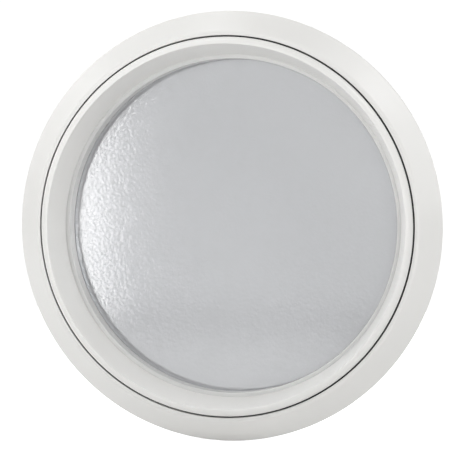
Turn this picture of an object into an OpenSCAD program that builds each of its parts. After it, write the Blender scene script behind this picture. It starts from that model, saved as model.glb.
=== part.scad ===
// Fixed round window for a wall, door or facade panel.
// Every piece is drawn in turning coordinates: radius from the window's axis, and height
// above the wall face towards the outside. The last step turns +height to face -Y.

/* [Overall] */
// Outside diameter of the frame's flange
frame_d = 430; // [380:5:560]
// Width of the flange from its outer rim to the seam
flange_w = 25; // [22:0.5:30]
// Height of the flange's inner land above the wall face
flange_h = 21.5; // [18:0.5:26]
// Height of the bezel's crest above the wall face
bezel_h = 27; // [24:0.5:33]

/* [Flange] */
// Height of the flange's square outer rim
rim_h = 3; // [2:0.5:4]
// Thickness of the flange's conical skin
flange_wall = 3; // [2.5:0.1:4]
// Width of the flat land beside the seam
land_w = 4; // [3:0.5:5]
// Depth of the channel for the wall gasket
channel_depth = 5; // [3:0.5:6]
// Number of ribs under the flange
flange_ribs = 24; // [12:4:36]

/* [Sleeve] */
// Wall thickness of the sleeve that passes through the wall
sleeve_wall = 4.5; // [3.5:0.25:6]
// Thickness of the glazing lip at the sleeve's inner end
lip_t = 6.5; // [6:0.25:9]

/* [Bezel] */
// Open seam between flange and bezel
seam_w = 1.2; // [1:0.1:1.6]
// Radial distance from the bezel's outer face to its crest
crest_in = 7.4; // [6.5:0.1:9]
// Radial distance from the bezel's outer face to the foot of its reveal
bezel_w = 17; // [15.5:0.25:20]
// Depth of the bezel's tapered reveal
reveal_depth = 36.8; // [32:0.2:42]
// Radius of the bezel's outer shoulder
shoulder_r = 6.5; // [5:0.25:7]
// Wall thickness of the bezel
bezel_wall = 3; // [2.5:0.1:3.5]
// Number of ribs inside the bezel
bezel_ribs = 16; // [8:8:32]

/* [Glazing] */
// Step from the foot of the reveal to the edge of the visible glass
bead_step = 3.8; // [3:0.1:5]
// Depth of the glazing bead
bead_depth = 18.2; // [14:0.2:24]
// Thickness of the gasket in front of the glass
front_gasket_t = 1.5; // [1.2:0.1:2]
// Thickness of each pane
pane_t = 4; // [3:0.5:6]
// Cavity between the panes
cavity_w = 10; // [8:0.5:16]
// Thickness of the gasket behind the glass
rear_gasket_t = 3; // [2:0.5:4]
// Space around the glass for blocks and screws
edge_gap = 6.5; // [6:0.25:8]

/* [Fixings] */
// Number of bezel screws, and of threaded inserts for an inner trim ring
fixings = 8; // [6:2:12]
// Diameter of the bezel screws
screw_d = 4; // [3:0.5:4.5]
// Tapping radius of the inserts for the trim ring
trim_thread_r = 1.65; // [1.25:0.05:2.1]

/* [Hidden] */
$fn = 96;

// radii, from the rim inwards
frame_r = frame_d / 2;
pocket_r = frame_r - flange_w;
sleeve_r = pocket_r + 1;
rebate_r = sleeve_r - sleeve_wall;
bezel_r = pocket_r - seam_w;
crest_r = bezel_r - crest_in;
foot_r = bezel_r - bezel_w;
sight_r = foot_r - bead_step;
glass_r = rebate_r - edge_gap;
clamp_r = glass_r - 0.5;

// heights, from the outside inwards
ledge_h = 4;
skirt_h = ledge_h + 1;
foot_h = bezel_h - reveal_depth;
bead_base_h = foot_h - bead_depth;
glass_h = bead_base_h - front_gasket_t;
cavity_h = glass_h - pane_t;
inner_pane_h = cavity_h - cavity_w;
glass_back_h = inner_pane_h - pane_t;
lip_h = glass_back_h - rear_gasket_t;
back_h = lip_h - lip_t;

// flange section
edge_r = 0.6;
land_round_r = 4;
land_round_drop = 1;
cone_top_r = pocket_r + land_w + 1.5;
cone_top_h = flange_h - land_round_drop;
channel_in_r = sleeve_r + 3;
channel_out_r = frame_r - 8;
rib_out_r = frame_r - 5;
cone_slope = (cone_top_h - rim_h) / (frame_r - cone_top_r);
cone_drop = flange_wall * sqrt(1 + cone_slope * cone_slope);
land_round_c = [cone_top_r - land_round_drop, flange_h - land_round_r];
rib_t = 2;
gasket_gap = 0.3;

// sleeve section
lip_edge_r = 1;

// seal in the seam
seal_groove_h = 9;
seal_groove_w = 3;
seal_groove_depth = 1.8;
seal_low_h = seal_groove_h - 2;
seal_top_h = flange_h - 6;

// bezel section
crest_edge_r = 0.6;
bezel_roof_h = bezel_h - 5;
reveal_slope = (crest_r - foot_r) / reveal_depth;

// glazing bead section
bead_leg_t = 3.4;
bead_plate_t = 4;
bead_edge_r = 1.4;

// sealed glazing unit
butyl_t = 0.4;
butyl_side = 1;
spacer_wall = 0.7;
spacer_in_r = sight_r + 0.5;
spacer_out_r = glass_r - 5;
spacer_slit = 0.4;
connector_angle = 8;
arris = 0.5;

// fixings
screw_r = screw_d / 2;
screw_circle_r = glass_r + edge_gap / 2;
screw_clear = 0.2;
head_r = screw_r + 1.5;
head_t = 2.2;
socket_r = screw_r * 0.7;
socket_depth = head_t * 0.6;
counterbore_r = head_r + 0.5;
counterbore_depth = 4;
washer_t = 0.5;
washer_clear = 0.1;
cap_t = 1;
insert_wall = 0.8;
insert_r = screw_r + insert_wall;
insert_l = 8;
boss_wall = 1.3;
screw_boss_r = insert_r + boss_wall;
trim_circle_r = rebate_r - 1.8;
trim_insert_wall = 1.15;
trim_insert_r = trim_thread_r + trim_insert_wall;
trim_insert_l = 9;
trim_boss_r = trim_insert_r + boss_wall;
trim_boss_h = 12;
trim_bore_r = trim_thread_r + 0.4;
trim_bore_depth = 15;
pitch = 360 / fixings;

// blocks around the glass
setting_block_angle = 12;
location_block_angle = 8;
block_relief = 1;
setting_places = [270 - 1.5 * pitch / 2, 270 + 1.5 * pitch / 2];
location_places = [pitch / 4, 90 - 1.5 * pitch / 2, 90 + 1.5 * pitch / 2, 180 - pitch / 4];

function polar(r, a) = [r * cos(a), r * sin(a)];
// points of a round stretch about c, from angle a to angle b
function arc(c, r, a, b, steps = 8) = [for (i = [0:steps]) c + polar(r, a + (b - a) * i / steps)];
// height of the flange's conical skin at a radius
function cone_at(r) = rim_h + (frame_r - r) * cone_slope;
// radius of the reveal at a height
function reveal_at(h) = foot_r + (h - foot_h) * reveal_slope;

// turns the model from turning coordinates to its place, outside facing -Y
module placed() {
    rotate([90, 0, 0]) children();
}

// a square-sided ring between two radii and two heights
module ring(inner, outer, low, high) {
    rotate_extrude() translate([inner, low]) square([outer - inner, high - low]);
}

// part of such a ring, centred on one angle
module ring_piece(inner, outer, low, high, middle, angle) {
    rotate([0, 0, middle - angle / 2])
        rotate_extrude(angle = angle) translate([inner, low]) square([outer - inner, high - low]);
}

// copies round the axis
module around(count, r, first = 0) {
    for (i = [0:count - 1]) rotate([0, 0, first + i * 360 / count]) translate([r, 0, 0]) children();
}

// thin radial walls round the axis, from one height upwards
module radial_walls(count, inner, outer, low, high, thickness, first) {
    around(count, inner, first)
        translate([0, -thickness / 2, low]) cube([outer - inner, thickness, high - low]);
}

module flange_section() {
    polygon(concat(
        [[rebate_r, 0], [frame_r - edge_r, 0]],
        arc([frame_r - edge_r, edge_r], edge_r, -90, 0, 3),
        arc([frame_r - edge_r, rim_h - edge_r], edge_r, 0, 45, 3),
        arc(land_round_c, land_round_r, 50, 90, 5),
        [[pocket_r + edge_r, flange_h]],
        arc([pocket_r + edge_r, flange_h - edge_r], edge_r, 90, 180, 4),
        [[pocket_r, ledge_h], [rebate_r, ledge_h]]));
}

module sleeve_section() {
    polygon(concat(
        [[sleeve_r - edge_r, back_h], [sleeve_r, back_h + edge_r], [sleeve_r, 0]],
        [[rebate_r, 0], [rebate_r, lip_h], [sight_r, lip_h]],
        arc([sight_r + lip_edge_r, back_h + lip_edge_r], lip_edge_r, 180, 270, 4)));
}

module flange_pockets() {
    difference() {
        rotate_extrude() polygon([
            [channel_in_r, -1],
            [channel_out_r, -1],
            [channel_out_r, cone_at(channel_out_r) - cone_drop],
            [cone_top_r, cone_top_h - cone_drop],
            [channel_in_r, cone_top_h - cone_drop]]);
        radial_walls(flange_ribs, sleeve_r, rib_out_r, channel_depth, flange_h, rib_t, 180 / flange_ribs);
    }
}

module flange_ring() {
    color("#ebebe6") placed() difference() {
        rotate_extrude() flange_section();
        flange_pockets();
        ring(pocket_r - 1, pocket_r + seal_groove_depth, seal_groove_h, seal_groove_h + seal_groove_w);
    }
}

module wall_sleeve() {
    color("#ebebe6") placed() difference() {
        union() {
            rotate_extrude() sleeve_section();
            around(fixings, trim_circle_r) translate([0, 0, lip_h - 1])
                cylinder(r = trim_boss_r, h = trim_boss_h + 1);
        }
        around(fixings, trim_circle_r) {
            translate([0, 0, back_h - 1]) cylinder(r = trim_insert_r, h = trim_insert_l + 1);
            translate([0, 0, back_h]) cylinder(r = trim_bore_r, h = trim_bore_depth);
        }
        around(fixings, screw_circle_r, pitch / 2) {
            translate([0, 0, back_h - 1]) cylinder(r = screw_r + screw_clear, h = lip_t + 2);
            translate([0, 0, back_h - 1]) cylinder(r = counterbore_r, h = counterbore_depth + 1);
        }
    }
}

module wall_gasket() {
    color("#2b2b2d") placed() ring(channel_in_r + gasket_gap, channel_out_r - gasket_gap, 0, channel_depth);
}

module bezel_section() {
    polygon(concat(
        [[foot_r, foot_h], [foot_r + bezel_wall, foot_h]],
        [[reveal_at(bezel_roof_h) + bezel_wall, bezel_roof_h], [bezel_r - bezel_wall - 0.8, bezel_roof_h]],
        [[bezel_r - bezel_wall, bezel_roof_h - 1.5], [bezel_r - bezel_wall, skirt_h], [bezel_r, skirt_h]],
        arc([bezel_r - shoulder_r, bezel_h - shoulder_r], shoulder_r, 0, 90, 10),
        arc([crest_r + crest_edge_r, bezel_h - crest_edge_r], crest_edge_r, 90, 165, 4)));
}

// what is between the bezel's reveal and its skirt
module bezel_cavity() {
    rotate_extrude() polygon([
        [reveal_at(skirt_h) + bezel_wall / 2, skirt_h],
        [bezel_r - bezel_wall / 2, skirt_h],
        [bezel_r - bezel_wall / 2, bezel_roof_h - 1],
        [bezel_r - bezel_wall, bezel_roof_h + 0.5],
        [reveal_at(bezel_roof_h) + bezel_wall / 2, bezel_roof_h + 0.5]]);
}

module bezel_ring() {
    color("#efefea") placed() difference() {
        union() {
            rotate_extrude() bezel_section();
            intersection() {
                bezel_cavity();
                union() {
                    around(fixings, screw_circle_r, pitch / 2) translate([0, 0, skirt_h - 1])
                        cylinder(r = screw_boss_r, h = bezel_h);
                    radial_walls(bezel_ribs, foot_r, bezel_r, skirt_h - 1, bezel_h, rib_t, 180 / bezel_ribs);
                }
            }
        }
        around(fixings, screw_circle_r, pitch / 2) translate([0, 0, skirt_h - 1])
            cylinder(r = insert_r, h = insert_l + 1);
    }
}

module bezel_seal() {
    color("#1d1d1f") placed() union() {
        ring(bezel_r, pocket_r, seal_low_h, seal_top_h);
        ring(bezel_r, pocket_r + seal_groove_depth, seal_groove_h, seal_groove_h + seal_groove_w);
    }
}

module glazing_bead() {
    color("#e4e4e0") placed() difference() {
        rotate_extrude() polygon(concat(
            arc([sight_r + bead_edge_r, foot_h - bead_edge_r], bead_edge_r, 180, 90, 5),
            [[rebate_r - gasket_gap, foot_h], [rebate_r - gasket_gap, foot_h - bead_plate_t]],
            [[clamp_r, foot_h - bead_plate_t], [clamp_r, bead_base_h]],
            [[clamp_r - bead_leg_t, bead_base_h], [clamp_r - bead_leg_t, foot_h - bead_plate_t]],
            [[sight_r + bead_leg_t, foot_h - bead_plate_t], [sight_r + bead_leg_t, bead_base_h]],
            [[sight_r, bead_base_h]]));
        around(fixings, screw_circle_r, pitch / 2) translate([0, 0, foot_h - bead_plate_t - 1])
            cylinder(r = screw_r + screw_clear, h = bead_plate_t + 2);
    }
}

module front_gasket() {
    color("#b9b9b6") placed() ring(sight_r + 0.5, clamp_r, glass_h, bead_base_h);
}

// a pane with its sharp edges taken off, its back face at a height
module pane(back) {
    rotate_extrude() polygon([
        [0, back], [glass_r - arris, back], [glass_r, back + arris],
        [glass_r, back + pane_t - arris], [glass_r - arris, back + pane_t], [0, back + pane_t]]);
}

module outer_pane() {
    color("#c3c5c7") placed() pane(cavity_h);
}

module inner_pane() {
    color("#d2dad8") placed() pane(glass_back_h);
}

module front_butyl_seal() {
    color("#202022") placed()
        ring(spacer_in_r + butyl_side, spacer_out_r - butyl_side, cavity_h - butyl_t, cavity_h);
}

module rear_butyl_seal() {
    color("#202022") placed()
        ring(spacer_in_r + butyl_side, spacer_out_r - butyl_side, inner_pane_h, inner_pane_h + butyl_t);
}

module spacer_bar() {
    color("#b4b6b8") placed() difference() {
        ring(spacer_in_r, spacer_out_r, inner_pane_h + butyl_t, cavity_h - butyl_t);
        ring(spacer_in_r + spacer_wall, spacer_out_r - spacer_wall,
             inner_pane_h + butyl_t + spacer_wall, cavity_h - butyl_t - spacer_wall);
        translate([-spacer_slit / 2, spacer_in_r - 1, inner_pane_h])
            cube([spacer_slit, spacer_out_r - spacer_in_r + 2, cavity_w]);
    }
}

// fills the spacer bar's hollow over one stretch
module spacer_core(middle, angle) {
    ring_piece(spacer_in_r + spacer_wall, spacer_out_r - spacer_wall,
               inner_pane_h + butyl_t + spacer_wall, cavity_h - butyl_t - spacer_wall, middle, angle);
}

module spacer_connector() {
    color("#8d9093") placed() spacer_core(90, connector_angle);
}

module desiccant_fill() {
    color("#c9bda6") placed() spacer_core(270, 360 - connector_angle - 1);
}

module edge_seal() {
    color("#2a2a2c") placed() ring(spacer_out_r, clamp_r, inner_pane_h, cavity_h);
}

module rear_gasket() {
    color("#232325") placed() ring(sight_r + 0.5, clamp_r, lip_h, glass_back_h);
}

module glass_blocks(places, angle) {
    for (middle = places)
        ring_piece(glass_r, rebate_r, glass_back_h + block_relief, glass_h - block_relief, middle, angle);
}

module setting_blocks() {
    color("#3b3d40") placed() glass_blocks(setting_places, setting_block_angle);
}

module location_blocks() {
    color("#4a6a8a") placed() glass_blocks(location_places, location_block_angle);
}

module bezel_inserts() {
    color("#b9975a") placed() around(fixings, screw_circle_r, pitch / 2) difference() {
        translate([0, 0, skirt_h]) cylinder(r = insert_r, h = insert_l);
        translate([0, 0, skirt_h - 1]) cylinder(r = screw_r, h = insert_l + 2);
    }
}

module bezel_screws() {
    seat_h = back_h + counterbore_depth - washer_t;
    color("#a9abad") placed() around(fixings, screw_circle_r, pitch / 2) difference() {
        union() {
            translate([0, 0, seat_h - head_t]) cylinder(r = head_r, h = head_t);
            translate([0, 0, seat_h]) cylinder(r = screw_r, h = skirt_h + insert_l - 1 - seat_h);
        }
        translate([0, 0, seat_h - head_t - 1]) cylinder(r = socket_r, h = socket_depth + 1, $fn = 6);
    }
}

module screw_washers() {
    color("#9d9fa2") placed() around(fixings, screw_circle_r, pitch / 2) difference() {
        translate([0, 0, back_h + counterbore_depth - washer_t])
            cylinder(r = counterbore_r - screw_clear, h = washer_t);
        translate([0, 0, back_h]) cylinder(r = screw_r + washer_clear, h = counterbore_depth + 1);
    }
}

module screw_caps() {
    color("#ebebe6") placed() around(fixings, screw_circle_r, pitch / 2)
        translate([0, 0, back_h]) cylinder(r = counterbore_r, h = cap_t);
}

module trim_inserts() {
    color("#b9975a") placed() around(fixings, trim_circle_r) difference() {
        translate([0, 0, back_h]) cylinder(r = trim_insert_r, h = trim_insert_l);
        translate([0, 0, back_h - 1]) cylinder(r = trim_thread_r, h = trim_insert_l + 2);
    }
}

flange_ring();
wall_sleeve();
wall_gasket();
bezel_ring();
bezel_seal();
glazing_bead();
front_gasket();
outer_pane();
front_butyl_seal();
spacer_bar();
spacer_connector();
desiccant_fill();
rear_butyl_seal();
edge_seal();
inner_pane();
rear_gasket();
setting_blocks();
location_blocks();
bezel_inserts();
bezel_screws();
screw_washers();
screw_caps();
trim_inserts();
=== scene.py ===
"""Fixed round window in a bright white studio.

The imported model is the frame: radii and depths are read from its nodes, and the rest are
the named sizes of each class. The window's own axis is Y. Its outside faces -Y, and Z is
up. All lengths are in metres.
"""

from __future__ import annotations

import logging
import math
from collections.abc import Mapping, Sequence
from dataclasses import dataclass
from enum import Enum
from typing import NamedTuple

import bmesh
import bpy
from bmesh.types import BMesh, BMVert
from bpy.types import Material, Node, NodeSocket, NodeTree, Object
from mathutils import Matrix, Vector


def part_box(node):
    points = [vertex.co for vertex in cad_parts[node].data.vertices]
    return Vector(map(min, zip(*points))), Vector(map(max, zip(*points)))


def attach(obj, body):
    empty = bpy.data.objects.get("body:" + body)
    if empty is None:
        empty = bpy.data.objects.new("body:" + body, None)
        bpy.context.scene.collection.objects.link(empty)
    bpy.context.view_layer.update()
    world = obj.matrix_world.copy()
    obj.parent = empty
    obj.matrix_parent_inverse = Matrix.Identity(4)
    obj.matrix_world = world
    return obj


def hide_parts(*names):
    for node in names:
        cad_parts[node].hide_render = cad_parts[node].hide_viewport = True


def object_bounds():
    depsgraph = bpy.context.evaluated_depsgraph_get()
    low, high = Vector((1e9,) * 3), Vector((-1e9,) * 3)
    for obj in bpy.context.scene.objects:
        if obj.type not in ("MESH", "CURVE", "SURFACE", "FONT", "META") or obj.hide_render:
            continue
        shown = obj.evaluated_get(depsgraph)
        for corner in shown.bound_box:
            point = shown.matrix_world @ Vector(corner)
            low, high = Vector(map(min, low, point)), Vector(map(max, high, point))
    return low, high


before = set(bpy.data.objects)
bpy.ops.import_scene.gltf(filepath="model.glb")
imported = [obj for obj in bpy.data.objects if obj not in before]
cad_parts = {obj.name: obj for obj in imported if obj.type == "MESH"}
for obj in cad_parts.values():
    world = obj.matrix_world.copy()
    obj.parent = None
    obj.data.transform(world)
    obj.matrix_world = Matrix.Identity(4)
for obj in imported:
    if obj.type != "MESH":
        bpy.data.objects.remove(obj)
CAD_BOX = [list(corner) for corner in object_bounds()]

LOG = logging.getLogger("round_window")
BODY = "root"
MM = 0.001
Colour = tuple[float, float, float]
Feed = float | tuple[float, ...] | NodeSocket


class Slot(Enum):
    """Material slots of the record, one for each kind of new piece."""

    FRAME = "frame_white"
    BEZEL = "bezel_white"
    BEAD = "bead_white"
    OBSCURE_GLASS = "obscure_glass"
    SEAL = "seal_black"
    FOAM = "foam_black"
    GASKET = "gasket_grey"
    BRASS = "insert_brass"


# ---------------------------------------------------------------------------------------
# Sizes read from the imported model
# ---------------------------------------------------------------------------------------


@dataclass(frozen=True)
class Ring:
    """Radii about the window's axis, and y range, of one node."""

    outer: float
    inner: float
    front: float
    back: float

    @classmethod
    def of(cls, node: str) -> Ring:
        """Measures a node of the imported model.

        Args:
            node: the node's name.

        Returns:
            Its largest and smallest radius, and its y range.
        """
        low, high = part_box(node)
        radii = [math.hypot(v.co.x, v.co.z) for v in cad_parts[node].data.vertices]
        return cls(outer=max(radii), inner=min(radii), front=low.y, back=high.y)


@dataclass(frozen=True)
class FixingCircle:
    """Where a ring of small round parts lies, and how large each one is."""

    radius: float
    part_radius: float
    first_angle: float
    count: int
    front: float
    back: float

    @classmethod
    def of(cls, node: str, first_angle: float, count: int) -> FixingCircle:
        """Measures a node made of equal small round solids.

        Args:
            node: the node's name.
            first_angle: angle of the first one from the X axis, in degrees.
            count: how many there are.

        Returns:
            The circle on which they lie.
        """
        ring = Ring.of(node)
        return cls(
            radius=(ring.outer + ring.inner) / 2,
            part_radius=(ring.outer - ring.inner) / 2,
            first_angle=math.radians(first_angle),
            count=count,
            front=ring.front,
            back=ring.back,
        )


# ---------------------------------------------------------------------------------------
# Mesh helpers
# ---------------------------------------------------------------------------------------


class Corner(NamedTuple):
    """A corner of a turned section: radius, depth along Y, and fillet."""

    radius: float
    depth: float
    fillet: float = 0.0
    segments: int = 4


def draw_section(bm: BMesh, corners: Sequence[Corner], closed: bool) -> None:
    """Draws a section in the XY plane and rounds its corners.

    Args:
        bm: the empty mesh that takes the section.
        corners: the section's corners in order.
        closed: whether the last corner joins the first.
    """
    verts = [bm.verts.new((corner.radius, corner.depth, 0.0)) for corner in corners]
    for here, after in zip(verts, verts[1:] + verts[:1] if closed else verts[1:]):
        bm.edges.new((here, after))
    for index, corner in enumerate(corners):
        if not corner.fillet:
            continue
        here = Vector(corner[:2])
        before, after = (Vector(corners[(index + step) % len(corners)][:2]) for step in (-1, 1))
        half_angle = (before - here).angle(after - here) / 2
        bmesh.ops.bevel(
            bm,
            geom=[verts[index]],
            offset=corner.fillet / math.tan(half_angle),
            offset_type="OFFSET",
            segments=corner.segments,
            profile=0.5,
            affect="VERTICES",
            clamp_overlap=False,
            material=-1,
        )


def turned(corners: Sequence[Corner], steps: int = 256, closed: bool = True) -> BMesh:
    """Spins a section round the Y axis.

    Args:
        corners: the section's corners in order.
        steps: number of steps in the full turn.
        closed: whether the section is a closed loop, or starts and ends on the axis.

    Returns:
        The closed solid, with its faces pointing outwards.
    """
    bm = bmesh.new()
    draw_section(bm, corners, closed)
    bmesh.ops.spin(
        bm,
        geom=bm.verts[:] + bm.edges[:],
        cent=(0.0, 0.0, 0.0),
        axis=(0.0, 1.0, 0.0),
        angle=math.tau,
        steps=steps,
        use_merge=True,
        use_duplicate=False,
    )
    if not closed:
        bmesh.ops.remove_doubles(bm, verts=bm.verts[:], dist=0.001 * MM)
    bmesh.ops.recalc_face_normals(bm, faces=bm.faces[:])
    return bm


def spread(bm: BMesh, circle: FixingCircle) -> None:
    """Moves a small part from the axis to its circle, and copies it round.

    Args:
        bm: the mesh, holding one part on the Y axis.
        circle: the circle that the parts lie on.
    """
    part = bm.verts[:] + bm.edges[:] + bm.faces[:]
    bmesh.ops.translate(bm, vec=(circle.radius, 0.0, 0.0), verts=bm.verts[:])
    turn_each(bm, bm.verts[:], -circle.first_angle)
    for number in range(1, circle.count):
        copied = bmesh.ops.duplicate(bm, geom=part)["geom"]
        verts = [item for item in copied if isinstance(item, BMVert)]
        turn_each(bm, verts, math.tau * number / circle.count)


def turn_each(bm: BMesh, verts: Sequence[BMVert], angle: float) -> None:
    """Turns some vertices about the window's axis by an angle in radians."""
    bmesh.ops.rotate(bm, cent=(0, 0, 0), matrix=Matrix.Rotation(angle, 3, "Y"), verts=verts)


def link_mesh(bm: BMesh, name: str) -> Object:
    """Turns a mesh into a linked object at the origin, and frees it.

    Args:
        bm: the finished mesh.
        name: the object's name.

    Returns:
        The object.
    """
    mesh = bpy.data.meshes.new(name)
    bm.to_mesh(mesh)
    bm.free()
    made = bpy.data.objects.new(name, mesh)
    bpy.context.scene.collection.objects.link(made)
    return made


def finish_piece(bm: BMesh, name: str, sharp: float = 35.0) -> Object:
    """Makes a piece whose broad faces shade flat and whose fillets shade round.

    Args:
        bm: the finished mesh, which is freed.
        name: the piece's name.
        sharp: smallest angle, in degrees, that stays a hard edge.

    Returns:
        The piece.
    """
    piece = link_mesh(bm, name)
    piece.data.shade_smooth()
    piece.data.set_sharp_from_angle(angle=math.radians(sharp))
    even = piece.modifiers.new("even_faces", "WEIGHTED_NORMAL")
    even.keep_sharp = True
    return piece


def cut(bm: BMesh, cutters: BMesh) -> BMesh:
    """Cuts closed shapes out of a solid.

    Args:
        bm: the solid, freed here.
        cutters: the shapes, freed here.

    Returns:
        What is left.
    """
    solid, tool = link_mesh(bm, "solid"), link_mesh(cutters, "cutters")
    holes = solid.modifiers.new("holes", "BOOLEAN")
    holes.operation = "DIFFERENCE"
    holes.solver = "EXACT"
    holes.object = tool
    result = bmesh.new()
    result.from_object(solid, bpy.context.evaluated_depsgraph_get())
    for used in (solid, tool):
        bpy.data.meshes.remove(used.data)
    return result


def place(piece: Object, slot: Slot, material: Material, *nodes: str) -> None:
    """Gives a finished piece its material and body, and hides the nodes it stands for.

    Args:
        piece: the finished piece.
        slot: the record's material slot; not used.
        material: the material that it wears.
        nodes: CAD nodes that it replaces.
    """
    piece.data.materials.clear()
    piece.data.materials.append(material)
    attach(piece, BODY)
    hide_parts(*nodes)
    LOG.info("%s: %d faces, for %s", piece.name, len(piece.data.polygons), ", ".join(nodes))


def dress(material: Material, *nodes: str) -> None:
    """Gives carried-over CAD nodes their material.

    Args:
        material: the material that they wear.
        nodes: the nodes' names.
    """
    for node in nodes:
        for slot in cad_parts[node].material_slots:
            slot.material = material
        LOG.info("%s: carried over, wears %s", node, material.name)


# ---------------------------------------------------------------------------------------
# Shader helpers and shared effects
# ---------------------------------------------------------------------------------------


class Wiring:
    """A node tree, with short calls to add and link its nodes."""

    def __init__(self, tree: NodeTree) -> None:
        """Keeps the tree of a material, a world or a group."""
        self.tree = tree

    def feed(self, socket: NodeSocket, value: Feed) -> None:
        """Links a socket, or sets its value.

        Args:
            socket: the input.
            value: an output to link, or a plain value.
        """
        if isinstance(value, NodeSocket):
            self.tree.links.new(value, socket)
        else:
            socket.default_value = value

    def node(
        self, kind: str, inputs: Mapping[str | int, Feed] | None = None, **options: str
    ) -> Node:
        """Adds a node.

        Args:
            kind: the type's name without its ShaderNode prefix.
            inputs: what feeds its inputs, by name or number.
            options: its options, such as operation.

        Returns:
            The node.
        """
        made = self.tree.nodes.new("ShaderNode" + kind)
        for key, value in options.items():
            setattr(made, key, value)
        for key, value in (inputs or {}).items():
            self.feed(made.inputs[key], value)
        return made

    def maths(self, operation: str, *terms: Feed) -> NodeSocket:
        """Works on numbers.

        Args:
            operation: the Math node's operation.
            terms: its inputs in order.

        Returns:
            The result.
        """
        return self.node("Math", dict(enumerate(terms)), operation=operation).outputs[0]

    def ramp(
        self, value: Feed, start: float, end: float, low: float = 0.0, high: float = 1.0
    ) -> NodeSocket:
        """Eases a value from one range to another.

        Args:
            value: the value.
            start: where its range starts.
            end: where its range ends.
            low: the result at the start.
            high: the result at the end.

        Returns:
            The result.
        """
        inputs = {
            "Value": value, "From Min": start, "From Max": end, "To Min": low, "To Max": high
        }
        return self.node("MapRange", inputs, interpolation_type="SMOOTHSTEP").outputs[0]

    def noise(
        self, position: Feed, size: Feed, detail: float = 2.0, roughness: float = 0.5
    ) -> Node:
        """Adds three-dimensional noise.

        Args:
            position: where it is read.
            size: width of its largest features.
            detail: number of finer layers.
            roughness: share of the finer layers.

        Returns:
            The node, whose first output is the value.
        """
        scale = self.maths("DIVIDE", 1.0, size)
        inputs = {"Vector": position, "Scale": scale, "Detail": detail, "Roughness": roughness}
        return self.node("TexNoise", inputs, noise_dimensions="3D")


class Effect:
    """A shared shader group that reads a position and puts out numbers."""

    def __init__(self, name: str, sizes: Mapping[str, float], results: Sequence[str]) -> None:
        """Makes the group's sockets.

        Args:
            name: the group's name.
            sizes: its number inputs with their defaults.
            results: its number outputs.
        """
        self.tree = bpy.data.node_groups.new(name, "ShaderNodeTree")
        sockets = self.tree.interface
        sockets.new_socket("Position", in_out="INPUT", socket_type="NodeSocketVector")
        for label, value in sizes.items():
            made = sockets.new_socket(label, in_out="INPUT", socket_type="NodeSocketFloat")
            made.default_value = value
        for label in results:
            sockets.new_socket(label, in_out="OUTPUT", socket_type="NodeSocketFloat")
        self.wire = Wiring(self.tree)
        self.given = self.tree.nodes.new("NodeGroupInput").outputs
        self.result = self.tree.nodes.new("NodeGroupOutput").inputs


class MouldedGrain(Effect):
    """A moulded skin: a tiny even grain, and a slow and broad unevenness."""

    def __init__(self) -> None:
        """Builds the group, with Height for the grain and Mottle for the unevenness."""
        sizes = {"Grain Size": 0.5 * MM, "Mottle Size": 60 * MM}
        super().__init__("moulded_grain", sizes, ("Height", "Mottle"))
        layers = (("Height", "Grain Size", 2.0), ("Mottle", "Mottle Size", 3.0))
        for result, size, detail in layers:
            noise = self.wire.noise(self.given["Position"], self.given[size], detail)
            self.wire.feed(self.result[result], noise.outputs[0])


class Handling(Effect):
    """Light handling: soft wiped patches that dull a gloss a little."""

    def __init__(self) -> None:
        """Builds the group, with Dulling from 0 to 1."""
        super().__init__("handling", {"Patch Size": 90 * MM}, ("Dulling",))
        noise = self.wire.noise(self.given["Position"], self.given["Patch Size"], 4.0, 0.62)
        self.wire.feed(self.result["Dulling"], self.wire.ramp(noise.outputs[0], 0.42, 0.72))


@dataclass(frozen=True)
class Effects:
    """The shared groups, each built once."""

    grain: MouldedGrain
    handling: Handling


class Surface(Wiring):
    """A material around a Principled BSDF, with the usual ways to feed it."""

    def __init__(self, name: str, constants: Mapping[str, float | tuple[float, ...]]) -> None:
        """Starts the material.

        Args:
            name: the material's name.
            constants: values set on the shader's own sockets.
        """
        self.material = bpy.data.materials.new(name)
        self.material.use_nodes = True
        super().__init__(self.material.node_tree)
        self.shader = self.tree.nodes["Principled BSDF"]
        for key, value in constants.items():
            self.shader.inputs[key].default_value = value
        self.position = self.node("TexCoord").outputs["Object"]

    def effect(self, effect: Effect, sizes: Mapping[str, float] | None = None) -> Node:
        """Places a shared effect on this surface.

        Args:
            effect: the effect.
            sizes: its inputs on this surface.

        Returns:
            The group's node.
        """
        made = self.tree.nodes.new("ShaderNodeGroup")
        made.node_tree = effect.tree
        for key, value in {"Position": self.position, **(sizes or {})}.items():
            self.feed(made.inputs[key], value)
        return made

    def relief(self, height: NodeSocket, depth: float) -> None:
        """Adds surface relief on top of any that was added before.

        Args:
            height: a height from 0 to 1.
            depth: how far apart 0 and 1 are.
        """
        inputs = {"Height": height, "Distance": depth}
        normal = self.shader.inputs["Normal"]
        if normal.links:
            inputs["Normal"] = normal.links[0].from_socket
        self.feed(normal, self.node("Bump", inputs).outputs["Normal"])

    def tint(self, mask: NodeSocket, low: Colour, high: Colour) -> None:
        """Feeds the base colour.

        Args:
            mask: 0 gives the first colour and 1 the second.
            low: the first colour.
            high: the second colour.
        """
        inputs = {0: mask, 6: (*low, 1.0), 7: (*high, 1.0)}
        mix = self.node("Mix", inputs, data_type="RGBA")
        self.feed(self.shader.inputs["Base Color"], mix.outputs[2])


def shade(colour: Colour, factor: float) -> Colour:
    """Scales a colour's brightness."""
    return tuple(channel * factor for channel in colour)


# ---------------------------------------------------------------------------------------
# Finishes
# ---------------------------------------------------------------------------------------


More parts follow.
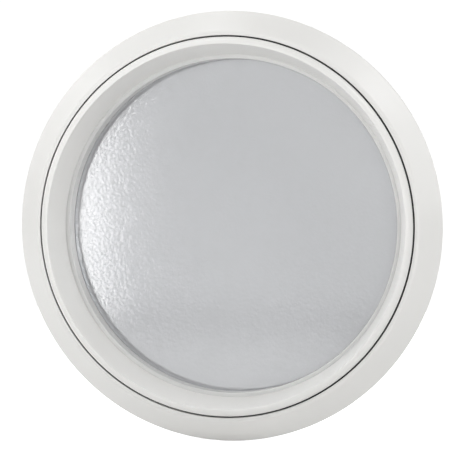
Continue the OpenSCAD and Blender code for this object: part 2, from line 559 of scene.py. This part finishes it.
@dataclass(frozen=True)
class MouldedPlastic:
    """Smooth moulded plastic with a faint grain, slight unevenness and wiped patches."""

    name: str
    colour: Colour
    roughness: float = 0.3
    dulled: float = 0.07
    grain: float = 0.5 * MM
    grain_depth: float = 0.002 * MM
    unevenness: float = 0.012

    def build(self, effects: Effects) -> Material:
        """Builds the material."""
        surface = Surface(self.name, {"IOR": 1.49})
        skin = surface.effect(effects.grain, {"Grain Size": self.grain})
        low = shade(self.colour, 1 - self.unevenness)
        high = shade(self.colour, 1 + self.unevenness)
        surface.tint(skin.outputs["Mottle"], low, high)
        handled = surface.effect(effects.handling).outputs["Dulling"]
        rough = surface.maths("MULTIPLY_ADD", handled, self.dulled, self.roughness)
        surface.feed(surface.shader.inputs["Roughness"], rough)
        surface.relief(skin.outputs["Height"], self.grain_depth)
        return surface.material


@dataclass(frozen=True)
class SoftRubber:
    """Extruded rubber: matt, with fine drawn lines along its length round the window."""

    name: str
    colour: Colour
    roughness: float = 0.6
    line_pitch: float = 0.4 * MM
    line_depth: float = 0.008 * MM

    def build(self, effects: Effects) -> Material:
        """Builds the material."""
        surface = Surface(self.name, {"Roughness": self.roughness})
        skin = surface.effect(effects.grain, {"Grain Size": 0.8 * MM, "Mottle Size": 25 * MM})
        surface.tint(skin.outputs["Mottle"], shade(self.colour, 0.8), shade(self.colour, 1.25))
        apart = surface.node("SeparateXYZ", {0: surface.position}).outputs
        z_squared = surface.maths("MULTIPLY", apart["Z"], apart["Z"])
        squares = surface.maths("MULTIPLY_ADD", apart["X"], apart["X"], z_squared)
        across = surface.maths("ADD", surface.maths("SQRT", squares), apart["Y"])
        phase = surface.maths("MULTIPLY", across, math.tau / self.line_pitch)
        surface.relief(surface.maths("SINE", phase), self.line_depth)
        surface.relief(skin.outputs["Height"], 0.01 * MM)
        return surface.material


@dataclass(frozen=True)
class CellFoam:
    """Closed-cell foam strip: matt and pitted with small cells."""

    name: str
    colour: Colour
    cell: float = 0.9 * MM
    pit_depth: float = 0.15 * MM

    def build(self, effects: Effects) -> Material:
        """Builds the material."""
        surface = Surface(self.name, {"Roughness": 0.9, "IOR": 1.35})
        skin = surface.effect(effects.grain, {"Grain Size": 0.3 * MM, "Mottle Size": 12 * MM})
        surface.tint(skin.outputs["Mottle"], shade(self.colour, 0.7), shade(self.colour, 1.4))
        inputs = {"Vector": surface.position, "Scale": 1 / self.cell}
        cells = surface.node("TexVoronoi", inputs, feature="DISTANCE_TO_EDGE")
        pits = surface.ramp(cells.outputs["Distance"], 0.0, 0.25, 1.0, 0.0)
        surface.relief(pits, self.pit_depth)
        return surface.material


@dataclass(frozen=True)
class RolledGlass:
    """Obscure glass with a rolled pebble face; a coat adds the second face's softer gloss."""

    name: str
    colour: Colour
    transmission: float = 0.6
    roughness: float = 0.06
    second_face: float = 0.7
    second_roughness: float = 0.1
    pebble: float = 3.4 * MM
    pebble_depth: float = 0.075 * MM

    def build(self, effects: Effects) -> Material:
        """Builds the material."""
        constants = {
            "IOR": 1.55,
            "Roughness": self.roughness,
            "Coat Weight": self.second_face,
            "Coat Roughness": self.second_roughness,
            "Transmission Weight": self.transmission,
        }
        surface = Surface(self.name, constants)
        skin = surface.effect(effects.grain, {"Grain Size": 1.2 * MM, "Mottle Size": 140 * MM})
        surface.tint(skin.outputs["Mottle"], shade(self.colour, 0.985), shade(self.colour, 1.015))
        wander = surface.noise(surface.position, 2 * self.pebble).outputs["Color"]
        inputs = {0: wander, 1: (self.pebble,) * 3, 2: surface.position}
        pushed = surface.node("VectorMath", inputs, operation="MULTIPLY_ADD").outputs[0]
        inputs = {"Vector": pushed, "Scale": 1 / self.pebble, "Smoothness": 0.5}
        pebbles = surface.node("TexVoronoi", inputs, feature="SMOOTH_F1")
        surface.relief(pebbles.outputs["Distance"], self.pebble_depth)
        return surface.material


@dataclass(frozen=True)
class FloatGlass:
    """Clear flat glass with the faint green of its body and a trace of wiping."""

    name: str
    colour: Colour
    smear: float = 0.03

    def build(self, effects: Effects) -> Material:
        """Builds the material."""
        surface = Surface(self.name, {"IOR": 1.52, "Transmission Weight": 1.0})
        skin = surface.effect(effects.grain, {"Grain Size": 40 * MM, "Mottle Size": 160 * MM})
        surface.tint(skin.outputs["Mottle"], shade(self.colour, 0.98), self.colour)
        handled = surface.effect(effects.handling, {"Patch Size": 70 * MM}).outputs["Dulling"]
        rough = surface.maths("MULTIPLY", handled, self.smear)
        surface.feed(surface.shader.inputs["Roughness"], rough)
        return surface.material


@dataclass(frozen=True)
class BareMetal:
    """Bare or plated metal: a fine grain over a slightly uneven tone."""

    name: str
    colour: Colour
    roughness: float = 0.32
    grain: float = 0.25 * MM
    grain_depth: float = 0.004 * MM

    def build(self, effects: Effects) -> Material:
        """Builds the material."""
        surface = Surface(self.name, {"Metallic": 1.0})
        skin = surface.effect(effects.grain, {"Grain Size": self.grain, "Mottle Size": 9 * MM})
        mottle = skin.outputs["Mottle"]
        surface.tint(mottle, shade(self.colour, 0.82), shade(self.colour, 1.1))
        rough = surface.ramp(mottle, 0.3, 0.7, self.roughness - 0.07, self.roughness + 0.1)
        surface.feed(surface.shader.inputs["Roughness"], rough)
        surface.relief(skin.outputs["Height"], self.grain_depth)
        return surface.material


@dataclass(frozen=True)
class PerforatedStrip:
    """Mill-finish aluminium with two rows of breather slits that follow its turn; the slits are
    painted near black, a painted shade inside the holes.
    """

    name: str
    colour: Colour
    turn_radius: float
    middle: float
    pitch: float = 3.2 * MM
    slit_length: float = 1.4 * MM
    slit_width: float = 0.4 * MM
    row_offset: float = 2.1 * MM
    soft_edge: float = 0.12 * MM
    depth: float = 0.3 * MM

    def build(self, effects: Effects) -> Material:
        """Builds the material."""
        surface = Surface(self.name, {"Metallic": 1.0, "Roughness": 0.38})
        apart = surface.node("SeparateXYZ", {0: surface.position}).outputs
        turn = surface.maths("ARCTAN2", apart["X"], apart["Z"])
        arc_length = surface.maths("MULTIPLY", turn, self.turn_radius)
        along = surface.maths("PINGPONG", arc_length, self.pitch / 2)
        across = surface.maths("ABSOLUTE", surface.maths("SUBTRACT", apart["Y"], self.middle))
        from_row = surface.maths("ABSOLUTE", surface.maths("SUBTRACT", across, self.row_offset))
        ends, sides = (
            surface.ramp(value, size / 2 - self.soft_edge, size / 2 + self.soft_edge, 1.0, 0.0)
            for value, size in ((along, self.slit_length), (from_row, self.slit_width))
        )
        slits = surface.maths("MULTIPLY", ends, sides)
        # The slits are painted near black: painted shade inside the holes.
        surface.tint(slits, self.colour, shade(self.colour, 0.06))
        surface.relief(surface.maths("SUBTRACT", 1.0, slits), self.depth)
        return surface.material


@dataclass(frozen=True)
class PackedBeads:
    """Small round drying beads, packed tight, with painted shade in the gaps between them."""

    name: str
    colour: Colour
    bead: float = 1.1 * MM
    bead_height: float = 0.5 * MM

    def build(self, effects: Effects) -> Material:
        """Builds the material."""
        surface = Surface(self.name, {"Roughness": 0.85})
        inputs = {"Vector": surface.position, "Scale": 1 / self.bead}
        distance = surface.node("TexVoronoi", inputs, feature="F1").outputs["Distance"]
        # Darker away from each bead's middle: painted shade in the gaps between the beads.
        surface.tint(surface.ramp(distance, 0.2, 0.7), self.colour, shade(self.colour, 0.35))
        surface.relief(surface.ramp(distance, 0.0, 0.7, 1.0, 0.0), self.bead_height)
        return surface.material


# ---------------------------------------------------------------------------------------
# The window's sub-assemblies
# ---------------------------------------------------------------------------------------


@dataclass(frozen=True)
class Fixings:
    """The two circles of fixings in the sleeve's inner end, and what fills them."""

    effects: Effects
    cap_finish: MouldedPlastic
    count: int = 8
    cap_angle: float = 22.5
    trim_angle: float = 0.0
    cap_clear: float = 0.12 * MM
    cap_crown: float = 0.5 * MM
    cap_edge: float = 0.3 * MM
    crown_share: float = 0.62
    crown_step: float = 0.1 * MM
    crown_fillet: float = 1.5 * MM
    bore_radius: float = 1.65 * MM
    thread_depth: float = 0.3 * MM
    thread_pitch: float = 0.7 * MM
    mouth: float = 0.35 * MM
    insert_edge: float = 0.15 * MM
    cut_past: float = 1 * MM
    steps: int = 40

    @property
    def caps(self) -> FixingCircle:
        """Circle of the caps over the bezel's screws."""
        return FixingCircle.of("screw_caps", self.cap_angle, self.count)

    @property
    def inserts(self) -> FixingCircle:
        """Circle of the threaded inserts for an inner trim ring."""
        return FixingCircle.of("trim_inserts", self.trim_angle, self.count)

    def hole_cutters(self, cap_depth: float, insert_depth: float) -> BMesh:
        """Builds the shapes that cut both circles of holes out of the sleeve.

        Args:
            cap_depth: depth of the holes under the caps.
            insert_depth: depth of the holes round the inserts.

        Returns:
            The cutters.
        """
        cutters = bmesh.new()
        for circle, depth in ((self.caps, cap_depth), (self.inserts, insert_depth)):
            bottom, top = circle.back - depth, circle.back + self.cut_past
            section = [
                Corner(0.0, bottom),
                Corner(circle.part_radius, bottom),
                Corner(circle.part_radius, circle.back - self.mouth / 2),
                Corner(circle.part_radius + self.mouth / 2, circle.back),
                Corner(circle.part_radius + self.mouth / 2, top),
                Corner(0.0, top),
            ]
            one = turned(section, self.steps, closed=False)
            spread(one, circle)
            mesh = bpy.data.meshes.new("holes")
            one.to_mesh(mesh)
            one.free()
            cutters.from_mesh(mesh)
            bpy.data.meshes.remove(mesh)
        return cutters

    def build_caps(self) -> Object:
        """Builds the low-domed caps that hide the bezel's screws."""
        circle = self.caps
        rim = circle.part_radius - self.cap_clear
        shoulder = circle.back - self.cap_crown
        section = [
            Corner(0.0, circle.front),
            Corner(rim, circle.front),
            Corner(rim, shoulder, self.cap_edge),
            Corner(rim * self.crown_share, circle.back - self.crown_step, self.crown_fillet),
            Corner(0.0, circle.back),
        ]
        one = turned(section, self.steps, closed=False)
        spread(one, circle)
        return finish_piece(one, "screw_cap_set")

    def build_inserts(self) -> Object:
        """Builds the brass inserts with their threaded bores."""
        circle = self.inserts
        crest, root = self.bore_radius, self.bore_radius + self.thread_depth
        turns = int((circle.back - circle.front - 2 * self.mouth) / self.thread_pitch)
        section = [
            Corner(circle.part_radius, circle.front),
            Corner(circle.part_radius, circle.back, self.insert_edge, 2),
            Corner(root, circle.back),
        ]
        start = circle.back - self.mouth
        for turn in range(turns):
            section.append(Corner(crest, start - turn * self.thread_pitch))
            section.append(Corner(root, start - (turn + 0.5) * self.thread_pitch))
        section.append(Corner(root, circle.front))
        one = turned(section, self.steps)
        spread(one, circle)
        return finish_piece(one, "trim_insert_set")

    def build(self) -> None:
        """Builds and dresses the pieces in the sleeve's inner end."""
        brass = BareMetal("turned_brass", (0.62, 0.42, 0.17), 0.28).build(self.effects)
        steel = BareMetal("plated_steel", (0.55, 0.56, 0.58), 0.3).build(self.effects)
        white = self.cap_finish.build(self.effects)
        place(self.build_caps(), Slot.FRAME, white, "screw_caps")
        place(self.build_inserts(), Slot.BRASS, brass, "trim_inserts")
        dress(brass, "bezel_inserts")
        dress(steel, "bezel_screws", "screw_washers")


@dataclass(frozen=True)
class FrameShell:
    """The one-piece flange and sleeve, and the foam strip under the flange."""

    effects: Effects
    fixings: Fixings
    finish: MouldedPlastic
    seam: float = 1.2 * MM
    rim_height: float = 3 * MM
    rim_edge: float = 0.6 * MM
    land: float = 4.39 * MM
    land_fillet: float = 4 * MM
    seam_edge: float = 0.6 * MM
    ledge: float = 4 * MM
    inner_edge: float = 0.3 * MM
    lip_edge: float = 1 * MM
    channel_side: float = 0.3 * MM
    foam_edge: float = 0.8 * MM
    cap_hole_depth: float = 4 * MM
    insert_hole_depth: float = 15 * MM

    def section(self) -> list[Corner]:
        """Works out the section of flange and sleeve.

        Returns:
            Its corners, from the sleeve's inner end round by the flange.
        """
        flange, sleeve = Ring.of("flange_ring"), Ring.of("wall_sleeve")
        pocket = Ring.of("bezel_ring").outer + self.seam
        foam = Ring.of("wall_gasket")
        lip = Ring.of("rear_gasket").back
        channel_in, channel_out = foam.inner - self.channel_side, foam.outer + self.channel_side
        return [
            Corner(sleeve.outer, sleeve.back, self.rim_edge),
            Corner(sleeve.outer, 0.0, self.inner_edge),
            Corner(channel_in, 0.0, self.inner_edge),
            Corner(channel_in, foam.front),
            Corner(channel_out, foam.front),
            Corner(channel_out, 0.0, self.inner_edge),
            Corner(flange.outer, 0.0, self.rim_edge, 5),
            Corner(flange.outer, -self.rim_height, self.rim_edge, 5),
            Corner(pocket + self.land, flange.front, self.land_fillet, 10),
            Corner(pocket, flange.front, self.seam_edge, 6),
            Corner(pocket, -self.ledge),
            Corner(flange.inner, -self.ledge, self.inner_edge),
            Corner(flange.inner, lip),
            Corner(sleeve.inner, lip, self.inner_edge),
            Corner(sleeve.inner, sleeve.back, self.lip_edge, 6),
        ]

    def build_shell(self) -> Object:
        """Builds the flange and sleeve, with the two circles of holes in its inner end."""
        cutters = self.fixings.hole_cutters(self.cap_hole_depth, self.insert_hole_depth)
        return finish_piece(cut(turned(self.section()), cutters), "frame_shell")

    def build_foam(self) -> Object:
        """Builds the foam strip that seals the flange to the wall."""
        foam = Ring.of("wall_gasket")
        section = [
            Corner(foam.inner, foam.front),
            Corner(foam.outer, foam.front),
            Corner(foam.outer, foam.back, self.foam_edge),
            Corner(foam.inner, foam.back, self.foam_edge),
        ]
        return finish_piece(turned(section), "wall_foam_strip")

    def build(self) -> None:
        """Builds and dresses the frame's pieces."""
        white = self.finish.build(self.effects)
        foam = CellFoam("black_cell_foam", (0.03, 0.03, 0.032)).build(self.effects)
        place(self.build_shell(), Slot.FRAME, white, "flange_ring", "wall_sleeve")
        place(self.build_foam(), Slot.FOAM, foam, "wall_gasket")


@dataclass(frozen=True)
class Bezel:
    """The round-shouldered inner ring with its tapered reveal, and the seal in its seam."""

    effects: Effects
    finish: MouldedPlastic
    crest_in: float = 7.4 * MM
    shoulder: float = 6.5 * MM
    crest_edge: float = 0.6 * MM
    wall: float = 3 * MM
    roof: float = 5 * MM
    roof_chamfer: float = 1.5 * MM
    roof_chamfer_in: float = 0.8 * MM
    skirt: float = 5 * MM
    skirt_edge: float = 0.4 * MM
    foot_edge: float = 0.9 * MM
    seam: float = 1.2 * MM
    seal_crown: float = 0.4 * MM
    seal_edge: float = 0.2 * MM
    root_edge: float = 0.3 * MM
    body_height: float = 15.5 * MM
    lip: float = 0.42 * MM
    lip_height: float = 22.4 * MM
    root_start: float = 9 * MM
    root_height: float = 3 * MM

    def build_shell(self) -> Object:
        """Builds the bezel."""
        ring = Ring.of("bezel_ring")
        crest = ring.outer - self.crest_in
        slope = (crest - ring.inner) / (ring.back - ring.front)
        roof_radius = crest - slope * self.roof + self.wall
        inside = ring.outer - self.wall
        section = [
            Corner(ring.outer, -self.skirt, self.skirt_edge),
            Corner(ring.outer, ring.front, self.shoulder, 16),
            Corner(crest, ring.front, self.crest_edge, 6),
            Corner(ring.inner, ring.back, self.foot_edge, 6),
            Corner(ring.inner + self.wall, ring.back),
            Corner(roof_radius, ring.front + self.roof),
            Corner(inside - self.roof_chamfer_in, ring.front + self.roof),
            Corner(inside, ring.front + self.roof + self.roof_chamfer),
            Corner(inside, -self.skirt, self.skirt_edge),
        ]
        return finish_piece(turned(section), "bezel_shell")

    def build_seal(self) -> Object:
        """Builds the seam's seal: a lip up the bezel's side, a body, and a root in the flange."""
        seal, bezel = Ring.of("bezel_seal"), Ring.of("bezel_ring")
        inside, outside = bezel.outer, bezel.outer + self.seam
        turn_start = -bezel.front - self.shoulder
        rise = self.lip_height - turn_start
        top = inside - self.shoulder + math.sqrt(self.shoulder**2 - rise**2)
        root_end = self.root_start + self.root_height
        section = [
            Corner(inside, seal.back, self.seal_edge),
            # The lip is a thin black strip up the bezel's side, which blackens the seam where it
            # is seen from the right.
            Corner(inside, -turn_start),
            Corner(top, -self.lip_height),
            Corner(top + self.lip, -self.lip_height, self.lip / 3),
            Corner(inside + self.lip, -turn_start),
            Corner(inside + self.lip, -self.body_height, self.lip / 2),
            Corner(outside, -self.body_height, self.seal_crown),
            Corner(outside, -root_end),
            Corner(seal.outer, -root_end, self.root_edge),
            Corner(seal.outer, -self.root_start, self.root_edge),
            Corner(outside, -self.root_start),
            Corner(outside, seal.back, self.seal_edge),
        ]
        return finish_piece(turned(section), "seam_seal")

    def build(self) -> None:
        """Builds and dresses the bezel's pieces."""
        black = SoftRubber("black_seam_rubber", (0.012, 0.012, 0.013)).build(self.effects)
        place(self.build_shell(), Slot.BEZEL, self.finish.build(self.effects), "bezel_ring")
        place(self.build_seal(), Slot.SEAL, black, "bezel_seal")


@dataclass(frozen=True)
class Glazing:
    """The glazing bead and the sealed double-glazed unit between its gaskets."""

    effects: Effects
    bead_finish: MouldedPlastic
    glass: RolledGlass
    bead_edge: float = 1.4 * MM
    bead_arris: float = 0.3 * MM
    bead_plate: float = 4 * MM
    bead_leg: float = 3.4 * MM
    arris: float = 0.5 * MM
    gasket_edge: float = 0.35 * MM
    pane_steps: int = 256

    def build_bead(self) -> Object:
        """Builds the ring that clamps the glass, with its two legs."""
        ring, clamp = Ring.of("glazing_bead"), Ring.of("front_gasket").outer
        under = ring.front + self.bead_plate
        section = [
            Corner(ring.inner, ring.back, self.bead_arris),
            Corner(ring.inner, ring.front, self.bead_edge, 8),
            Corner(ring.outer, ring.front, self.bead_arris),
            Corner(ring.outer, under),
            Corner(clamp, under),
            Corner(clamp, ring.back),
            Corner(clamp - self.bead_leg, ring.back),
            Corner(clamp - self.bead_leg, under),
            Corner(ring.inner + self.bead_leg, under),
            Corner(ring.inner + self.bead_leg, ring.back),
        ]
        return finish_piece(turned(section), "glazing_bead_ring")

    def build_gasket(self, node: str, name: str) -> Object:
        """Builds one flat gasket that bears on the glass.

        Args:
            node: the CAD node it follows.
            name: the piece's name.

        Returns:
            The gasket.
        """
        ring = Ring.of(node)
        section = [
            Corner(ring.inner, ring.front, self.gasket_edge),
            Corner(ring.outer, ring.front),
            Corner(ring.outer, ring.back),
            Corner(ring.inner, ring.back, self.gasket_edge),
        ]
        return finish_piece(turned(section), name)

    def build_pane(self) -> Object:
        """Builds the outer pane with ground arrises."""
        low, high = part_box("outer_pane")
        bm = bmesh.new()
        turn = Matrix.Rotation(math.pi / 2, 4, "X")
        disc = bmesh.ops.create_circle(
            bm, cap_ends=True, segments=self.pane_steps, radius=high.x, matrix=turn
        )
        bmesh.ops.translate(bm, vec=(0.0, low.y, 0.0), verts=disc["verts"])
        grown = bmesh.ops.extrude_face_region(bm, geom=bm.faces[:])["geom"]
        moved = [item for item in grown if isinstance(item, BMVert)]
        bmesh.ops.translate(bm, vec=(0.0, high.y - low.y, 0.0), verts=moved)
        rims = [edge for edge in bm.edges if abs(edge.verts[0].co.y - edge.verts[1].co.y) < 1e-6]
        bmesh.ops.bevel(
            bm, geom=rims, offset=self.arris, offset_type="OFFSET", segments=2, profile=0.5,
            affect="EDGES", clamp_overlap=True, material=-1,
        )
        bmesh.ops.recalc_face_normals(bm, faces=bm.faces[:])
        return finish_piece(bm, "obscure_pane")

    def build(self) -> None:
        """Builds and dresses the glazing's pieces and the sealed unit's hidden ones."""
        fx = self.effects
        grey = SoftRubber("grey_gasket_rubber", (0.60, 0.60, 0.60), 0.45).build(fx)
        black = SoftRubber("black_gasket_rubber", (0.016, 0.016, 0.017)).build(fx)
        connector = BareMetal("bare_connector_steel", (0.48, 0.49, 0.50), 0.4)
        butyl = SoftRubber("soft_butyl", (0.01, 0.01, 0.011), 0.45)
        sealant = SoftRubber("edge_sealant_dark", (0.022, 0.022, 0.023), 0.7)
        grey_block = MouldedPlastic("grey_block_plastic", (0.045, 0.047, 0.05), 0.5)
        blue_block = MouldedPlastic("blue_block_plastic", (0.07, 0.145, 0.26), 0.5)
        spacer = Ring.of("spacer_bar")
        middle = (spacer.front + spacer.back) / 2
        strip = PerforatedStrip("perforated_aluminium", (0.60, 0.61, 0.62), spacer.inner, middle)
        place(self.build_bead(), Slot.BEAD, self.bead_finish.build(fx), "glazing_bead")
        front_gasket = self.build_gasket("front_gasket", "front_glass_gasket")
        place(front_gasket, Slot.GASKET, grey, "front_gasket")
        rear_gasket = self.build_gasket("rear_gasket", "rear_glass_gasket")
        place(rear_gasket, Slot.SEAL, black, "rear_gasket")
        place(self.build_pane(), Slot.OBSCURE_GLASS, self.glass.build(fx), "outer_pane")
        dress(FloatGlass("clear_float_glass", (0.93, 0.96, 0.945)).build(fx), "inner_pane")
        dress(strip.build(fx), "spacer_bar")
        dress(connector.build(fx), "spacer_connector")
        dress(PackedBeads("drying_beads", (0.58, 0.50, 0.38)).build(fx), "desiccant_fill")
        dress(butyl.build(fx), "front_butyl_seal", "rear_butyl_seal")
        dress(sealant.build(fx), "edge_seal")
        dress(grey_block.build(fx), "setting_blocks")
        dress(blue_block.build(fx), "location_blocks")


# ---------------------------------------------------------------------------------------
# The studio
# ---------------------------------------------------------------------------------------


def direction(azimuth: float, elevation: float) -> Vector:
    """Finds a direction from the window.

    Args:
        azimuth: degrees from straight ahead, -Y, towards +X.
        elevation: degrees above the floor.

    Returns:
        The unit vector.
    """
    turn, rise = math.radians(azimuth), math.radians(elevation)
    level = math.cos(rise)
    return Vector((math.sin(turn) * level, -math.cos(turn) * level, math.sin(rise)))


@dataclass(frozen=True)
class SoftBox:
    """A rectangular soft light that faces the window."""

    name: str
    azimuth: float
    elevation: float
    width: float
    height: float
    brightness: float
    distance: float = 2.4

    def build(self) -> Object:
        """Builds the light, whose brightness is measured against paper white."""
        data = bpy.data.lights.new(self.name, "AREA")
        data.shape = "RECTANGLE"
        data.size, data.size_y = self.width, self.height
        data.energy = self.brightness * self.width * self.height * math.pi
        light = bpy.data.objects.new(self.name, data)
        towards = direction(self.azimuth, self.elevation)
        light.location = towards * self.distance
        light.rotation_euler = towards.to_track_quat("Z", "Y").to_euler()
        light.visible_camera = False
        bpy.context.scene.collection.objects.link(light)
        return light


@dataclass(frozen=True)
class Studio:
    """A white room: backdrop, table top, soft lights and the camera."""

    backdrop: float = 1.05
    table_colour: Colour = (0.7, 0.7, 0.7)
    table_glow: float = 0.1
    table_seen: float = 0.95
    table_glow_through_glass: float = 0.33
    table_front: float = 1.3
    table_back: float = 2.0
    table_half_width: float = 2.0
    table_gap: float = 1 * MM
    camera_azimuth: float = 12.1
    camera_elevation: float = 1.9
    camera_distance: float = 2.6
    lens: float = 207.0
    aim: tuple[float, float, float] = (-3.1 * MM, -0.6 * MM, 0.25 * MM)

    @property
    def lights(self) -> tuple[SoftBox, ...]:
        """The soft lights round the window, from a tall strip at its left to a back light."""
        return (
            SoftBox("left_strip", -26.0, 4.0, 0.65, 1.5, 6.0),
            SoftBox("upper_left", -45.0, 50.0, 1.0, 1.0, 2.0),
            SoftBox("left_side", -80.0, 25.0, 1.0, 1.4, 4.5),
            SoftBox("front_fill", 18.0, -5.0, 0.9, 0.9, 7.0),
            SoftBox("right_side", 75.0, 25.0, 0.9, 1.8, 3.0),
            SoftBox("upper_right", 75.0, 60.0, 0.9, 0.9, 2.0),
            SoftBox("right_accent", 62.0, 45.0, 0.5, 0.5, 11.0),
            SoftBox("top_accent", -55.0, 72.0, 0.4, 0.4, 10.0),
            SoftBox("back_left", -120.0, 45.0, 1.2, 1.2, 2.0),
            SoftBox("back_light", 180.0, 50.0, 1.6, 1.6, 1.5),
            SoftBox("back_right", 145.0, 8.0, 1.0, 1.2, 6.0),
        )

    def build_world(self) -> None:
        """Builds the backdrop: paper white where it's seen, and no light of its own."""
        world = bpy.data.worlds.new("white_room")
        world.use_nodes = True
        bpy.context.scene.world = world
        wire = Wiring(world.node_tree)
        path = wire.node("LightPath").outputs
        seen = wire.maths("MAXIMUM", path["Is Camera Ray"], path["Is Transmission Ray"])
        strength = wire.maths("MULTIPLY", seen, self.backdrop)
        background = world.node_tree.nodes["Background"]
        background.inputs["Color"].default_value = (1.0, 1.0, 1.0, 1.0)
        wire.feed(background.inputs["Strength"], strength)

    def build_table(self) -> None:
        """Builds the plain pale table top just below the frame. It glows paper white to the
        camera; its glow seen through the glass and its faint glow to all other rays are painted
        light on the window.
        """
        bm = bmesh.new()
        bmesh.ops.create_grid(bm, x_segments=1, y_segments=1, size=1.0)
        depth = self.table_front + self.table_back
        bmesh.ops.scale(bm, vec=(self.table_half_width, depth / 2, 1.0), verts=bm.verts[:])
        middle = (self.table_back - self.table_front) / 2
        low = CAD_BOX[0][2] - self.table_gap
        bmesh.ops.translate(bm, vec=(0.0, middle, low), verts=bm.verts[:])
        table = link_mesh(bm, "table_top")
        constants = {
            "Base Color": (*self.table_colour, 1.0),
            "Roughness": 0.9,
            "Emission Color": (1.0, 1.0, 1.0, 1.0),
        }
        surface = Surface("pale_table", constants)
        # Paper white to the camera; the glow through the glass and the faint glow to all other
        # rays are painted light, brightening the pane and lighting the window from below.
        path = surface.node("LightPath").outputs
        direct = surface.maths("MULTIPLY", path["Is Camera Ray"], self.table_seen)
        through = surface.maths("MULTIPLY", path["Is Transmission Ray"], self.table_glow_through_glass)
        seen = surface.maths("MAXIMUM", direct, through)
        glow = surface.maths("MAXIMUM", seen, self.table_glow)
        surface.feed(surface.shader.inputs["Emission Strength"], glow)
        table.data.materials.append(surface.material)

    def build_camera(self) -> None:
        """Builds the camera and makes it the scene's own."""
        data = bpy.data.cameras.new("view")
        data.lens = self.lens
        camera = bpy.data.objects.new("view", data)
        aim = Vector(self.aim)
        towards = direction(self.camera_azimuth, self.camera_elevation)
        camera.location = towards * self.camera_distance
        camera.rotation_euler = (camera.location - aim).to_track_quat("Z", "Y").to_euler()
        bpy.context.scene.collection.objects.link(camera)
        bpy.context.scene.camera = camera

    def build(self) -> None:
        """Builds the whole studio."""
        self.build_world()
        self.build_table()
        self.build_camera()
        for light in self.lights:
            light.build()
        bpy.context.scene.view_settings.view_transform = "Standard"
        bpy.context.scene.view_settings.look = "None"


def main() -> None:
    """Builds the window and its studio."""
    logging.basicConfig(level=logging.INFO, format="%(name)s %(message)s")
    effects = Effects(grain=MouldedGrain(), handling=Handling())
    warm_white = (0.80, 0.795, 0.775)
    frame_white = MouldedPlastic("frame_white_skin", warm_white)
    cap_white = MouldedPlastic("cap_white_skin", warm_white)
    bezel_white = MouldedPlastic("bezel_white_skin", (0.82, 0.815, 0.795))
    bead_white = MouldedPlastic("bead_white_skin", (0.68, 0.68, 0.67), 0.2)
    glass = RolledGlass("pebbled_glass", (0.752, 0.752, 0.772))
    fixings = Fixings(effects, cap_white)
    FrameShell(effects, fixings, frame_white).build()
    Bezel(effects, bezel_white).build()
    Glazing(effects, bead_white, glass).build()
    fixings.build()
    Studio().build()
    bpy.context.view_layer.update()


if __name__ == "__main__":
    main()
